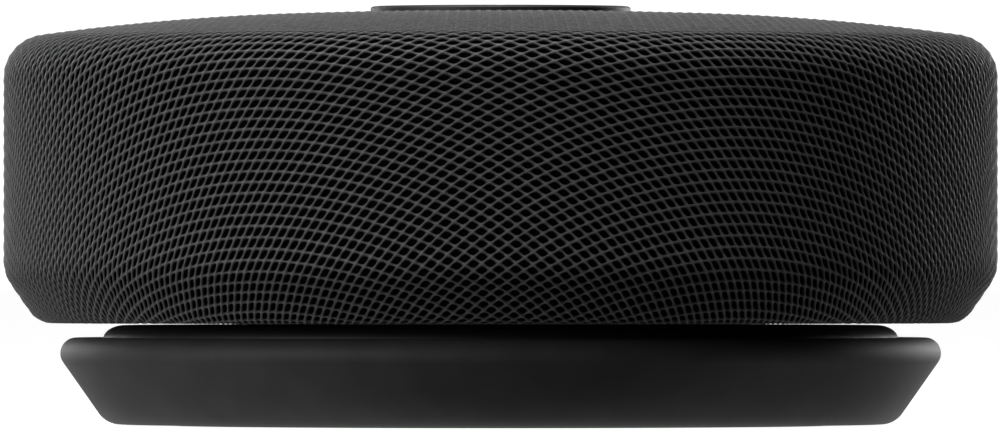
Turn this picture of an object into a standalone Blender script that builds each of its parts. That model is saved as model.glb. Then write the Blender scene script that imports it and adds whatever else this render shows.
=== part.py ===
"""Conference speakerphone: a round, fabric-covered speaker body on a low tray-shaped base.

Run it with: blender --background --python part.py

The frame is metres with +Z up. The origin is the centre of the underside, and the front looks along -Y.
Every size below is in millimetres, and the factor MM turns it into scene units.
"""

import math

import bmesh
import bpy
from mathutils import Matrix, Vector

MM = 0.001

# Driving dimensions, in millimetres and degrees.
BODY_RADIUS = 58.0  # the widest part of the whole object
BODY_FLOOR = 12.05  # height of the body's underside
SHOULDER_RADIUS = 4.9  # round between the dome and the upright wall
SHOULDER_HEIGHT = 40.7  # height of that round's centre
DOME_RADIUS = 271.7  # the shallow dome's own radius
DOME_EDGE_SLOPE = 8.0  # slope of the dome where it meets the shoulder
CROWN_SLOPE = 1.5  # slope of the flatter crown round the control disc
FLANK_LEAN = 35.0  # lean of the lower flanks of both body and tray, from the vertical
KNEE_RADIUS = 5.0  # round between the upright wall and the lower flank
KNEE_HEIGHT = 19.3
HEEL_RADIUS = 3.0  # round between a lower flank and the flat underside
FABRIC_THICK = 0.9
FABRIC_MOUTH = 15.5  # radius of the fabric's hole round the control disc
FABRIC_HEM = 49.0  # radius to which the fabric is tucked under the body
SHELL_THICK = 1.6
GAP = 0.3  # clearance between neighbouring curved surfaces
SEAT = 0.1  # clearance between flat faces that rest on each other

DISC_RADIUS = 15.2
DISC_TOP = 49.0
KEY_CAP_RADIUS = 12.7
KEY_FLANGE_RADIUS = 13.6
CENTRE_KEY_RADIUS = 5.4
KEY_CIRCLE = 9.4  # radius of the circle that the four outer keys press on

TRAY_RADIUS = 51.45
TRAY_TOP = 10.3
TRAY_RIM_RADIUS = 1.85
TRAY_FLOOR = 0.15  # the tray's own underside; the rubber foot reaches down to 0
TRAY_INSIDE = 2.05  # height of the floor inside the tray
DECK_RADIUS = 46.45
FOOT_INNER, FOOT_OUTER = 32.3, 38.5
NECK_INNER, NECK_OUTER = 27.5, 31.0

BASE_SCREW_CIRCLE = 36.2
BODY_SCREW_CIRCLE = 42.0
BAFFLE_SCREW_CIRCLE = 42.0
SCREW_SHAFT = 1.1
SCREW_HEAD = 2.3
SCREW_HEAD_HEIGHT = 1.1

BAFFLE_LOW, BAFFLE_HIGH = 34.3, 36.3
TUB_RADIUS = 49.5
TUB_LOW, TUB_INSIDE, TUB_TOP = 17.4, 18.8, 33.5

PORT_HEIGHT = 5.2  # centre of the USB-C socket
PORT_WALL = 45.2  # the flat wall at the back of the port recess
PORT_RECESS = (13.0, 6.8)  # width and height of the recess, which takes a plug's grip

COARSE, ROUND, FINE = 8, 18, 32  # sides of small, middle and large round pieces


# ---------------------------------------------------------------- helpers


def clear_scene():
    for obj in list(bpy.data.objects):
        bpy.data.objects.remove(obj)


def new_collection(name):
    collection = bpy.data.collections.new(name)
    bpy.context.scene.collection.children.link(collection)
    return collection


def material(name, colour, roughness, metallic=0.0):
    made = bpy.data.materials.new(name)
    made.use_nodes = True
    shader = made.node_tree.nodes["Principled BSDF"]
    shader.inputs["Base Color"].default_value = (*colour, 1.0)
    shader.inputs["Roughness"].default_value = roughness
    shader.inputs["Metallic"].default_value = metallic
    return made


def add_object(name, mesh, surface=None):
    obj = bpy.data.objects.new(name, mesh)
    PARTS.objects.link(obj)
    if surface is not None:
        obj.data.materials.clear()
        obj.data.materials.append(surface)
    return obj


def settle(obj):
    """Applies the modifiers, and shades the mesh smooth except at its corners."""
    surfaces = list(obj.data.materials)
    bpy.context.view_layer.update()
    graph = bpy.context.evaluated_depsgraph_get()
    mesh = bpy.data.meshes.new_from_object(obj.evaluated_get(graph))
    obj.modifiers.clear()
    obj.data = mesh
    mesh.materials.clear()
    for surface in surfaces:
        mesh.materials.append(surface)
    mesh.shade_smooth()
    mesh.set_sharp_from_angle(angle=math.radians(30))
    return obj


def combine(obj, tool, operation):
    """A Boolean of obj with tool, applied."""
    boolean = obj.modifiers.new(operation.lower(), "BOOLEAN")
    boolean.operation = operation
    boolean.object = tool
    return settle(obj)


def cut(obj, tool):
    """Cuts the tool's shape away, and keeps the tool as a hidden wire among the cutters."""
    combine(obj, tool, "DIFFERENCE")
    PARTS.objects.unlink(tool)
    CUTTERS.objects.link(tool)
    tool.hide_render = True
    tool.display_type = "WIRE"
    return obj


def join(obj, tool):
    """Adds the tool's shape, and uses the tool up."""
    combine(obj, tool, "UNION")
    bpy.data.objects.remove(tool)
    return obj


def polar(centre, radius, degrees):
    """The point at that angle above the outward horizontal."""
    angle = math.radians(degrees)
    return (
        centre[0] + radius * math.cos(angle),
        centre[1] + radius * math.sin(angle),
    )


def arc(centre, radius, start, end, steps):
    return [polar(centre, radius, start + (end - start) * i / steps) for i in range(steps + 1)]


def turned(name, profile, surface=None, steps=ROUND, ring=True):
    """A solid of revolution about Z.

    The profile lists (radius, height), running down the outer side. A ring's profile closes on itself;
    any other starts and ends on the axis.
    """
    count = len(profile)
    mesh = bpy.data.meshes.new(name)
    edges = [(i, (i + 1) % count) for i in range(count if ring else count - 1)]
    mesh.from_pydata([(r * MM, 0, z * MM) for r, z in profile], edges, [])
    obj = add_object(name, mesh, surface)
    screw = obj.modifiers.new("turn", "SCREW")
    screw.steps = screw.render_steps = steps
    screw.use_merge_vertices = True
    screw.merge_threshold = 0.00001
    return settle(obj)


def tube(name, inner, outer, low, high, surface=None, steps=ROUND):
    """A plain ring of rectangular section."""
    profile = [(inner, high), (outer, high), (outer, low), (inner, low)]
    return turned(name, profile, surface, steps)


def disc(name, radius, low, high, surface=None, steps=ROUND):
    profile = [(0, high), (radius, high), (radius, low), (0, low)]
    return turned(name, profile, surface, steps, ring=False)


def box(name, size, centre, surface=None):
    mesh = bpy.data.meshes.new(name)
    made = bmesh.new()
    bmesh.ops.create_cube(made, size=1.0)
    bmesh.ops.scale(made, vec=Vector(size) * MM, verts=made.verts)
    bmesh.ops.translate(made, vec=Vector(centre) * MM, verts=made.verts)
    made.to_mesh(mesh)
    made.free()
    return add_object(name, mesh, surface)


def rod(name, radius, low, high, at=(0, 0), surface=None, steps=COARSE):
    """An upright cylinder between two heights."""
    mesh = bpy.data.meshes.new(name)
    made = bmesh.new()
    bmesh.ops.create_cone(
        made,
        cap_ends=True,
        segments=steps,
        radius1=radius * MM,
        radius2=radius * MM,
        depth=(high - low) * MM,
    )
    middle = Vector((at[0], at[1], (low + high) / 2)) * MM
    bmesh.ops.translate(made, vec=middle, verts=made.verts)
    made.to_mesh(mesh)
    made.free()
    return add_object(name, mesh, surface)


def plate(name, outline, low, high, surface=None):
    """A flat piece: a closed outline of (x, y) points, between two heights."""
    curve = bpy.data.curves.new(name, "CURVE")
    curve.dimensions = "2D"
    curve.fill_mode = "BOTH"
    curve.extrude = (high - low) / 2 * MM
    spline = curve.splines.new("POLY")
    spline.points.add(len(outline) - 1)
    for point, (x, y) in zip(spline.points, outline):
        point.co = (x * MM, y * MM, 0, 1)
    spline.use_cyclic_u = True
    drawn = bpy.data.objects.new(name + "_outline", curve)
    PARTS.objects.link(drawn)
    drawn.location.z = (low + high) / 2 * MM
    bpy.context.view_layer.update()
    graph = bpy.context.evaluated_depsgraph_get()
    mesh = bpy.data.meshes.new_from_object(drawn.evaluated_get(graph))
    mesh.transform(drawn.matrix_world)
    bpy.data.objects.remove(drawn)
    made = bmesh.new()
    made.from_mesh(mesh)
    bmesh.ops.remove_doubles(made, verts=made.verts, dist=0.000001)
    bmesh.ops.recalc_face_normals(made, faces=made.faces)
    made.to_mesh(mesh)
    made.free()
    return add_object(name, mesh, surface)


def turn_mesh(obj, degrees):
    """Turns a finished mesh about Z, so that its object stays unrotated."""
    obj.data.transform(Matrix.Rotation(math.radians(degrees), 4, "Z"))
    return obj


def set_origin(obj, point):
    """Moves a finished object's origin without moving its surface."""
    obj.data.transform(Matrix.Translation(Vector(point) * -MM))
    obj.location = Vector(point) * MM


def around(radius, count, first=45.0):
    """(x, y) of evenly spaced places on a circle, starting at an angle in degrees."""
    return [polar((0, 0), radius, first + 360 * i / count) for i in range(count)]


def stadium(width, height, centre_x, centre_y, steps=6):
    """The outline of a slot with round ends."""
    radius = height / 2
    reach = width / 2 - radius
    right = arc((centre_x + reach, centre_y), radius, -90, 90, steps)
    left = arc((centre_x - reach, centre_y), radius, 90, 270, steps)
    return right + left


def upright_slab(name, outline, front, back, surface=None):
    """A piece whose outline of (x, z) points stands upright, reaching from front to back along Y."""
    obj = plate(name, outline, -back, -front, surface)
    obj.data.transform(Matrix.Rotation(math.radians(90), 4, "X"))
    return obj


# ---------------------------------------------------------------- outlines


def heel_centre(upper, upper_radius, floor):
    """Centre of the lower round that the leaning flank of an upper round runs into."""
    lean = math.radians(FLANK_LEAN)
    spare = upper_radius - HEEL_RADIUS
    start_r = upper[0] + spare * math.cos(lean)
    start_z = upper[1] - spare * math.sin(lean)
    run = (start_z - floor - HEEL_RADIUS) / math.cos(lean)
    return (start_r - run * math.sin(lean), floor + HEEL_RADIUS)


def body_outline(inset, mouth, hem):
    """The body's outside, from its top opening to its underside, moved inwards by inset."""
    shoulder = (BODY_RADIUS - SHOULDER_RADIUS, SHOULDER_HEIGHT)
    knee = (BODY_RADIUS - KNEE_RADIUS, KNEE_HEIGHT)
    heel = heel_centre(knee, KNEE_RADIUS, BODY_FLOOR)
    dome = polar(shoulder, SHOULDER_RADIUS - DOME_RADIUS, 90 - DOME_EDGE_SLOPE)
    crown = arc(dome, DOME_RADIUS - inset, 90 - CROWN_SLOPE, 90 - DOME_EDGE_SLOPE, 2)
    rise = (crown[0][0] - mouth) * math.tan(math.radians(CROWN_SLOPE))
    return (
        [(mouth, crown[0][1] + rise)]
        + crown
        + arc(shoulder, SHOULDER_RADIUS - inset, 90 - DOME_EDGE_SLOPE, 0, 3)[1:]
        + arc(knee, KNEE_RADIUS - inset, 0, -FLANK_LEAN, 1)
        + arc(heel, HEEL_RADIUS - inset, -FLANK_LEAN, -90, 2)
        + [(hem, BODY_FLOOR + inset)]
    )


def tray_outline():
    """The tray's outside, from its top face to its underside."""
    rim = (TRAY_RADIUS - TRAY_RIM_RADIUS, TRAY_TOP - TRAY_RIM_RADIUS)
    heel = heel_centre(rim, TRAY_RIM_RADIUS, TRAY_FLOOR)
    return arc(rim, TRAY_RIM_RADIUS, 90, -FLANK_LEAN, 4) + arc(heel, HEEL_RADIUS, -FLANK_LEAN, -90, 2)


# ---------------------------------------------------------------- body: covers


def make_fabric_cover():
    outer = body_outline(0, FABRIC_MOUTH, FABRIC_HEM)
    inner = body_outline(FABRIC_THICK, FABRIC_MOUTH, FABRIC_HEM)
    turned("fabric_cover", outer + inner[::-1], FABRIC, FINE)


def make_grille_shell():
    """The moulded frame under the fabric, with sound slots round its wall and in its dome."""
    outside = FABRIC_THICK + GAP
    mouth = DISC_RADIUS - 0.15
    outer = body_outline(outside, mouth, FABRIC_HEM + 0.2)
    inner = body_outline(outside + SHELL_THICK, mouth, FABRIC_HEM + 0.2)
    shell = turned("grille_shell", outer + inner[::-1], SHELL_PLASTIC, FINE)
    wall_slots, dome_slots = 18, 9
    for i in range(wall_slots):
        slot = box("slot", (8, 4.2, 15), (BODY_RADIUS - 2, 0, 30))
        cut(shell, turn_mesh(slot, 360 * (i + 0.5) / wall_slots))
    for i in range(dome_slots):
        slot = box("slot", (20, 3.0, 8), (36, 0, 46))
        cut(shell, turn_mesh(slot, 360 * (i + 0.5) / dome_slots))


def make_body_floor():
    """The plate that closes the body from below and carries it on the neck."""
    floor = tube(
        "body_floor", NECK_OUTER + GAP, FABRIC_HEM - GAP, BODY_FLOOR, BODY_FLOOR + 2.2, SHELL_PLASTIC, FINE
    )
    for x, y in around(BODY_SCREW_CIRCLE, 4):
        cut(floor, rod("hole", SCREW_SHAFT + GAP, 0, 20, (x, y)))
        cut(floor, rod("bore", SCREW_HEAD + GAP, 0, BODY_FLOOR + SCREW_HEAD_HEIGHT + 0.2, (x, y)))


# ---------------------------------------------------------------- body: speaker box


def make_enclosure_tub():
    """The speaker's sealed box, with posts inside for the baffle's screws and the body's screws."""
    wall = 2.0
    tub = turned(
        "enclosure_tub",
        [
            (0, TUB_INSIDE),
            (TUB_RADIUS - wall, TUB_INSIDE),
            (TUB_RADIUS - wall, TUB_TOP),
            (TUB_RADIUS, TUB_TOP),
            (TUB_RADIUS, TUB_LOW),
            (0, TUB_LOW),
        ],
        SHELL_PLASTIC,
        FINE,
        ring=False,
    )
    foot_low = BODY_FLOOR + 2.2 + SEAT
    for x, y in around(BODY_SCREW_CIRCLE, 4):
        join(tub, rod("post", 3.2, foot_low, 27, (x, y)))
        cut(tub, rod("pilot", SCREW_SHAFT + GAP, foot_low - 1, 25, (x, y)))
    for x, y in around(BAFFLE_SCREW_CIRCLE, 4, 0):
        join(tub, rod("post", 3.0, TUB_INSIDE - 0.5, TUB_TOP, (x, y)))
        cut(tub, rod("pilot", SCREW_SHAFT + GAP, TUB_TOP - 8, TUB_TOP + 1, (x, y)))


def make_speaker_baffle():
    baffle = tube("speaker_baffle", 23.5, TUB_RADIUS, BAFFLE_LOW, BAFFLE_HIGH, SHELL_PLASTIC, FINE)
    for x, y in around(BAFFLE_SCREW_CIRCLE, 4, 0):
        cut(baffle, rod("hole", SCREW_SHAFT + GAP, BAFFLE_LOW - 1, BAFFLE_HIGH + 1, (x, y)))


def make_enclosure_seal():
    tube("enclosure_seal", TUB_RADIUS - 1.9, TUB_RADIUS - 0.1, TUB_TOP + SEAT, BAFFLE_LOW - SEAT, RUBBER)


def make_screw(name, at, seat, point, head_down):
    """A pan-head screw. Its head sits at height seat, and its shaft runs to height point."""
    way = -1 if head_down else 1
    top = seat + way * SCREW_HEAD_HEIGHT
    profile = [
        (0, top - way * 0.6),
        (1.1, top - way * 0.6),
        (1.2, top),
        (SCREW_HEAD, top),
        (SCREW_HEAD, seat),
        (SCREW_SHAFT, seat),
        (SCREW_SHAFT, point),
        (0, point),
    ]
    if head_down:
        profile.reverse()
    screw = turned(name, profile, STEEL, COARSE, ring=False)
    screw.location = (at[0] * MM, at[1] * MM, 0)


def make_screws():
    for i, at in enumerate(around(BASE_SCREW_CIRCLE, 4), 1):
        make_screw(f"base_screw_{i}", at, 2.6, 9.3, head_down=True)
    for i, at in enumerate(around(BODY_SCREW_CIRCLE, 4), 1):
        seat = BODY_FLOOR + SCREW_HEAD_HEIGHT + 0.1
        make_screw(f"body_screw_{i}", at, seat, 24.0, head_down=True)
    for i, at in enumerate(around(BAFFLE_SCREW_CIRCLE, 4, 0), 1):
        make_screw(f"baffle_screw_{i}", at, BAFFLE_HIGH + SEAT, 27.0, head_down=False)


# ---------------------------------------------------------------- body: loudspeaker


def make_motor():
    """Yoke with its pole, ring magnet and top plate, which leave the voice coil's gap."""
    yoke = [(0, 26.8), (5.9, 26.8), (5.9, 21.0), (13, 21.0), (13, 19.1), (0, 19.1)]
    turned("driver_yoke", yoke, STEEL, ROUND, ring=False)
    tube("driver_magnet", 8.0, 14.0, 21.1, 24.8, MAGNET)
    tube("driver_top_plate", 6.95, 13.0, 24.9, 26.8, STEEL)


def make_basket():
    basket = turned(
        "driver_basket",
        [
            (24.2, 38.0),
            (27.0, 38.0),
            (27.0, 36.9),
            (23.1, 36.9),
            (22.6, 36.4),
            (16.4, 26.9),
            (8.0, 26.9),
            (8.0, 28.1),
            (14.9, 28.1),
            (21.8, 37.3),
            (24.2, 37.3),
        ],
        STEEL,
    )
    windows = 4
    for i in range(windows):
        window = box("window", (9, 9, 5.4), (19.5, 0, 32.2))
        cut(basket, turn_mesh(window, 360 * (i + 0.5) / windows))
    tube("driver_gasket", 24.2, 27.0, BAFFLE_HIGH + SEAT, 36.8, RUBBER)


def make_cone():
    """The pieces that the voice coil drives: former with its winding, paper cone and dust cap."""
    turned(
        "voice_coil",
        [(6.6, 31.0), (6.6, 23.4), (6.25, 23.4), (6.25, 31.0)],
        COPPER,
    )
    turned(
        "driver_cone",
        [
            (18.2, 37.1),
            (19.3, 37.1),
            (19.3, 36.7),
            (14.6, 34.2),
            (10.2, 31.9),
            (7.6, 30.2),
            (6.9, 30.2),
            (6.9, 30.9),
            (10.0, 32.5),
            (14.4, 34.8),
        ],
        PAPER,
    )
    cap_centre, cap_radius = (0, 20.6), 15.0
    cap = arc(cap_centre, cap_radius, 90, 53, 3) + arc(cap_centre, cap_radius - 0.4, 53, 90, 3)
    turned("dust_cap", cap, PAPER, ROUND, ring=False)


def make_suspension():
    """The half-roll surround at the cone's edge, and the corrugated spider round the coil."""
    centre = (20.95, 37.5)
    roll = arc(centre, 1.75, 180, 0, 4)
    under = arc(centre, 1.4, 0, 180, 4)
    turned(
        "driver_surround",
        [(18.3, 37.8)] + roll + [(24.0, 37.8), (24.0, 37.45)] + under + [(18.3, 37.45)],
        RUBBER,
    )
    waves, low, high = 3, 7.0, 15.0
    steps = waves * 4
    top = []
    for i in range(steps + 1):
        radius = low + (high - low) * i / steps
        top.append((radius, 29.2 + 0.35 * math.sin(2 * math.pi * waves * i / steps)))
    turned("driver_spider", top + [(r, z - 0.3) for r, z in reversed(top)], SPIDER_CLOTH)


# ---------------------------------------------------------------- body: controls


def make_bezel():
    """The raised disc's rim. Its lip keeps the keys in, and its skirt stands on the board."""
    bezel = turned(
        "control_bezel",
        [
            (13.0, DISC_TOP),
            (14.2, DISC_TOP),
            (DISC_RADIUS, DISC_TOP - 0.2),
            (DISC_RADIUS, 47.4),
            (14.7, 47.4),
            (14.7, 45.2),
            (13.9, 45.2),
            (13.9, 47.4),
            (13.0, 47.4),
        ],
        GLOSS_PLASTIC,
        FINE,
    )
    cut(bezel, box("light_notch", (2.6, 3.0, 1.8), (0, -14.3, 45.35)))
    cut(bezel, rod("light_hole", 0.7, 45.8, 50, (0, -14.05)))
    rod("status_light_guide", 0.4, 46.1, DISC_TOP - 0.05, (0, -14.05), CLEAR_PLASTIC)
    box("status_led", (1.6, 1.0, 0.6), (0, -14.0, 45.3), CLEAR_PLASTIC)


def sector(inner, outer, half_angle, gap, steps=5):
    """A ring sector centred on +X whose straight sides stay parallel to its neighbours'."""
    trim_out = math.degrees(math.asin(gap / 2 / outer))
    trim_in = math.degrees(math.asin(gap / 2 / inner))
    outside = arc((0, 0), outer, trim_out - half_angle, half_angle - trim_out, steps)
    inside = arc((0, 0), inner, half_angle - trim_in, trim_in - half_angle, steps)
    return outside + inside


def make_keys():
    """Five keys in the disc: one round key in the middle and four ring sectors."""
    flange_low, flange_high, cap_top, stem_low = 46.3, 47.1, DISC_TOP - 0.1, 45.9
    key = disc("mute_key", CENTRE_KEY_RADIUS, 47.0, cap_top, KEY_PLASTIC)
    join(key, disc("flange", CENTRE_KEY_RADIUS + 0.25, flange_low, flange_high, steps=ROUND))
    join(key, rod("stem", 1.5, stem_low, flange_low + 0.2))
    names = ("volume_up_key", "call_key", "volume_down_key", "hang_up_key")
    for i, name in enumerate(names):
        cap = sector(CENTRE_KEY_RADIUS + 0.5, KEY_CAP_RADIUS, 45, 0.5)
        flange = sector(CENTRE_KEY_RADIUS + 0.65, KEY_FLANGE_RADIUS, 45, 0.8)
        key = plate(name, cap, 47.0, cap_top, KEY_PLASTIC)
        join(key, plate("flange", flange, flange_low, flange_high))
        join(key, rod("stem", 1.5, stem_low, flange_low + 0.2, (KEY_CIRCLE, 0)))
        turn_mesh(key, 90 * i)
        set_origin(key, (*polar((0, 0), KEY_CIRCLE, 90 * i), 0))


def make_control_housing():
    """The cup under the disc that carries the key board."""
    housing = turned(
        "control_housing",
        [
            (0, 43.4),
            (13.4, 43.4),
            (13.4, 43.8),
            (15.3, 43.8),
            (15.3, 45.1),
            (16.8, 45.1),
            (16.8, 42.6),
            (16.4, 42.2),
            (0, 42.2),
        ],
        SHELL_PLASTIC,
        ring=False,
    )
    cut(housing, box("cable_slot", (11, 2.6, 4), (0, 6.2, 42.8)))
    disc("control_board", 15.0, 43.9, 44.9, BOARD)
    mat = disc("key_mat", 13.4, 45.0, 45.3, RUBBER)
    for x, y in [(0, 0)] + around(KEY_CIRCLE, 4, 0):
        join(mat, rod("dome", 2.2, 45.1, 45.5, (x, y)))


def make_microphones():
    """Two capsules in rubber boots behind the fabric, either side of the front."""
    for side, name in ((-1, "left"), (1, "right")):
        boot = rod(f"microphone_boot_{name}", 4.0, 51.6, 54.8, surface=RUBBER)
        cut(boot, rod("port", 0.8, 50, 56, steps=8))
        capsule = box(f"microphone_capsule_{name}", (3.0, 4.0, 1.1), (0, 0, 50.9), STEEL)
        for obj in (boot, capsule):
            place = (
                Matrix.Rotation(math.radians(-90 + 22 * side), 4, "Z")
                @ Matrix.Translation((0, 0, 31 * MM))
                @ Matrix.Rotation(math.radians(90), 4, "Y")
            )
            obj.data.transform(place)


# ---------------------------------------------------------------- base


def make_base_tray():
    groove = [
        (FOOT_OUTER + GAP, TRAY_FLOOR),
        (FOOT_OUTER + GAP, 1.0),
        (FOOT_INNER - GAP, 1.0),
        (FOOT_INNER - GAP, TRAY_FLOOR),
    ]
    inside = [
        (0, TRAY_INSIDE),
        (42.6, TRAY_INSIDE),
        (45.0, 4.8),
        (45.0, 8.8),
        (DECK_RADIUS + GAP, 8.8),
        (DECK_RADIUS + GAP, TRAY_TOP),
    ]
    tray = turned(
        "base_tray", inside + tray_outline() + groove + [(0, TRAY_FLOOR)], TRAY_PLASTIC, FINE, ring=False
    )
    for x, y in around(BASE_SCREW_CIRCLE, 4):
        join(tray, rod("post", 3.8, 1.6, 6.5, (x, y)))
        cut(tray, rod("hole", SCREW_SHAFT + GAP, 0.5, 8, (x, y)))
        cut(tray, rod("bore", SCREW_HEAD + GAP, 0.5, 2.8, (x, y)))
    width, height = PORT_RECESS
    join(tray, box("port_wall", (17, 2.0, 7.3), (0, PORT_WALL - 0.7, 1.5 + 3.65)))
    recess = [
        (sx * (width / 2), PORT_HEIGHT + sz * (height / 2)) for sx, sz in ((-1, -1), (1, -1), (1, 1), (-1, 1))
    ]
    cut(tray, upright_slab("recess", recess, PORT_WALL, 60))
    window = stadium(9.5, 3.7, 0, PORT_HEIGHT)
    cut(tray, upright_slab("window", window, 40, 60))


def make_base_deck():
    """The raised lid of the tray, just under the body."""
    edge = [(43.9 + 2.55 * math.sin(a), 10.1 + 1.65 * math.cos(a)) for a in (0.0, 0.4, 0.8, 1.2, math.pi / 2)]
    deck = turned(
        "base_deck",
        [(NECK_OUTER + GAP, 11.75)]
        + edge
        + [(DECK_RADIUS, 9.1), (43.8, 9.1), (43.8, 9.9), (NECK_OUTER + GAP, 9.9)],
        DECK_PLASTIC,
        FINE,
    )
    for x, y in around(BASE_SCREW_CIRCLE, 4):
        join(deck, rod("post", 2.8, 6.8, 10.2, (x, y)))
        cut(deck, rod("pilot", SCREW_SHAFT + GAP, 6, 9.6, (x, y)))


def make_neck():
    """The short collar that joins base and body, and the ring that locks it inside the body."""
    turned(
        "neck_collar",
        [
            (NECK_INNER, 16.2),
            (NECK_OUTER, 16.2),
            (NECK_OUTER, 9.6),
            (33.0, 9.6),
            (33.0, 8.0),
            (NECK_INNER, 8.0),
        ],
        DECK_PLASTIC,
        FINE,
    )
    tube("neck_lock_ring", NECK_OUTER + GAP, 35.0, 14.55, 16.0, STEEL, FINE)


def make_foot_ring():
    turned(
        "foot_ring",
        [
            (FOOT_INNER, 0.85),
            (FOOT_OUTER, 0.85),
            (FOOT_OUTER, 0.25),
            (FOOT_OUTER - 0.25, 0),
            (FOOT_INNER + 0.25, 0),
            (FOOT_INNER, 0.25),
        ],
        RUBBER,
        FINE,
    )


def make_main_board():
    low, high = 3.4, 5.0
    board = disc("main_board", 41.8, low, high, BOARD, FINE)
    for x, y in around(BASE_SCREW_CIRCLE, 4):
        cut(board, rod("hole", 4.2, low - 1, high + 1, (x, y)))
    cut(board, box("port_notch", (9.8, 10, 4), (0, 42.4, 4.2)))
    floor = high + SEAT
    box("processor_chip", (12, 12, 1.2), (-13, -8, floor + 0.6), CHIP)
    can = box("shield_can", (20, 17, 2.4), (-13, -8, floor + 1.2), STEEL)
    cut(can, box("can_inside", (19.2, 16.2, 2.6), (-13, -8, floor + 0.7)))
    box("amplifier_chip", (7, 7, 1.1), (14, -6, floor + 0.55), CHIP)
    box("cable_connector", (12, 4, 1.9), (0, 20, floor + 0.95), KEY_PLASTIC)


def make_usb_socket():
    """The USB-C socket: a drawn steel shell, closed at its back, and the contact tongue inside."""
    front, back = PORT_WALL - 7.4, PORT_WALL - SEAT
    shell = upright_slab("usb_c_shell", stadium(8.94, 3.16, 0, PORT_HEIGHT), front, back, STEEL)
    cut(shell, upright_slab("cavity", stadium(8.34, 2.56, 0, PORT_HEIGHT), front + 1.0, back + 1))
    size = (6.6, 5.2, 0.7)
    box("usb_c_tongue", size, (0, front + 1.1 + size[1] / 2, PORT_HEIGHT), KEY_PLASTIC)


def ribbon_path():
    """The flat cable's way, as (y, z): up the neck, out under the speaker box, up and over to the disc."""
    corners = [(20, 7.3), (20, 16.7), (51.6, 16.7), (51.6, 40.7), (6.2, 40.7), (6.2, 43.7)]
    bend = 1.6
    path = [corners[0]]
    for before, corner, after in zip(corners, corners[1:], corners[2:]):
        into = (Vector(corner) - Vector(before)).normalized()
        out = (Vector(after) - Vector(corner)).normalized()
        for share in (0.0, 0.5, 1.0):
            near = Vector(corner) - into * bend * (1 - share) ** 2 + out * bend * share**2
            path.append(tuple(near))
    return path + [corners[-1]]


def make_flat_cable():
    width, thick = 8.0, 0.2
    mesh = bpy.data.meshes.new("flat_flex_cable")
    made = bmesh.new()
    rows = []
    for y, z in ribbon_path():
        rows.append([made.verts.new((x * MM, y * MM, z * MM)) for x in (-width / 2, width / 2)])
    edges = [made.edges.new((a[0], b[0])) for a, b in zip(rows, rows[1:])]
    others = [made.edges.new((a[1], b[1])) for a, b in zip(rows, rows[1:])]
    bmesh.ops.bridge_loops(made, edges=edges + others)
    made.to_mesh(mesh)
    made.free()
    cable = add_object("flat_flex_cable", mesh, FLEX)
    solid = cable.modifiers.new("thickness", "SOLIDIFY")
    solid.thickness = thick * MM
    solid.offset = 0
    settle(cable)


# ---------------------------------------------------------------- the object

clear_scene()
PARTS = new_collection("speakerphone")
CUTTERS = new_collection("cutters")
CUTTERS.hide_render = True

FABRIC = material("knitted_fabric", (0.028, 0.028, 0.030), 0.9)
SHELL_PLASTIC = material("shell_plastic", (0.012, 0.012, 0.013), 0.6)
TRAY_PLASTIC = material("tray_plastic", (0.033, 0.033, 0.035), 0.5)
DECK_PLASTIC = material("deck_plastic", (0.008, 0.008, 0.009), 0.45)
GLOSS_PLASTIC = material("bezel_plastic", (0.018, 0.018, 0.020), 0.35)
KEY_PLASTIC = material("key_plastic", (0.020, 0.020, 0.022), 0.45)
CLEAR_PLASTIC = material("light_plastic", (0.75, 0.78, 0.80), 0.2)
RUBBER = material("rubber", (0.015, 0.015, 0.015), 0.85)
STEEL = material("steel", (0.55, 0.56, 0.58), 0.35, 1.0)
MAGNET = material("ferrite", (0.06, 0.06, 0.065), 0.6)
COPPER = material("copper", (0.72, 0.38, 0.20), 0.35, 1.0)
PAPER = material("cone_paper", (0.04, 0.04, 0.042), 0.8)
SPIDER_CLOTH = material("spider_cloth", (0.55, 0.40, 0.12), 0.9)
BOARD = material("circuit_board", (0.01, 0.10, 0.05), 0.45)
CHIP = material("chip", (0.02, 0.02, 0.02), 0.5)
FLEX = material("flex_cable", (0.80, 0.45, 0.12), 0.4)

make_fabric_cover()
make_grille_shell()
make_body_floor()
make_enclosure_tub()
make_speaker_baffle()
make_enclosure_seal()
make_screws()
make_motor()
make_basket()
make_cone()
make_suspension()
make_bezel()
make_keys()
make_control_housing()
make_microphones()
make_base_tray()
make_base_deck()
make_neck()
make_foot_ring()
make_main_board()
make_usb_socket()
make_flat_cable()
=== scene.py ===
"""The looks of a round conference speakerphone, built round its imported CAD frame.

Lengths in the named sizes are millimetres; MM turns them into the frame's metres. The front looks along -Y.
"""

import math

import bmesh
import bpy
import numpy as np
from mathutils import Matrix, Vector


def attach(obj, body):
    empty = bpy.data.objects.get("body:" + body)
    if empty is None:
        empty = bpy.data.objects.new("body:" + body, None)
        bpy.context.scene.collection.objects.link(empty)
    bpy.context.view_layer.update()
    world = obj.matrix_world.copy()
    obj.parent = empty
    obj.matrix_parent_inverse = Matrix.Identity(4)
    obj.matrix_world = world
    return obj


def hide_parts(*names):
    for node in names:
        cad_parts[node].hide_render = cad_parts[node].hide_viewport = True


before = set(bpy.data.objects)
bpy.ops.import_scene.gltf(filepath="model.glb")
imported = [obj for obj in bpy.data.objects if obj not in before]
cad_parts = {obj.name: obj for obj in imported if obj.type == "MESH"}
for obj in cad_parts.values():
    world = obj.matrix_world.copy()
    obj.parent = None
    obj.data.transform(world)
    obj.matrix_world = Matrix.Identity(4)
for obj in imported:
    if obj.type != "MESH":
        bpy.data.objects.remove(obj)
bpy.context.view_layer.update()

MM = 0.001
HOUSING = "housing"

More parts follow.
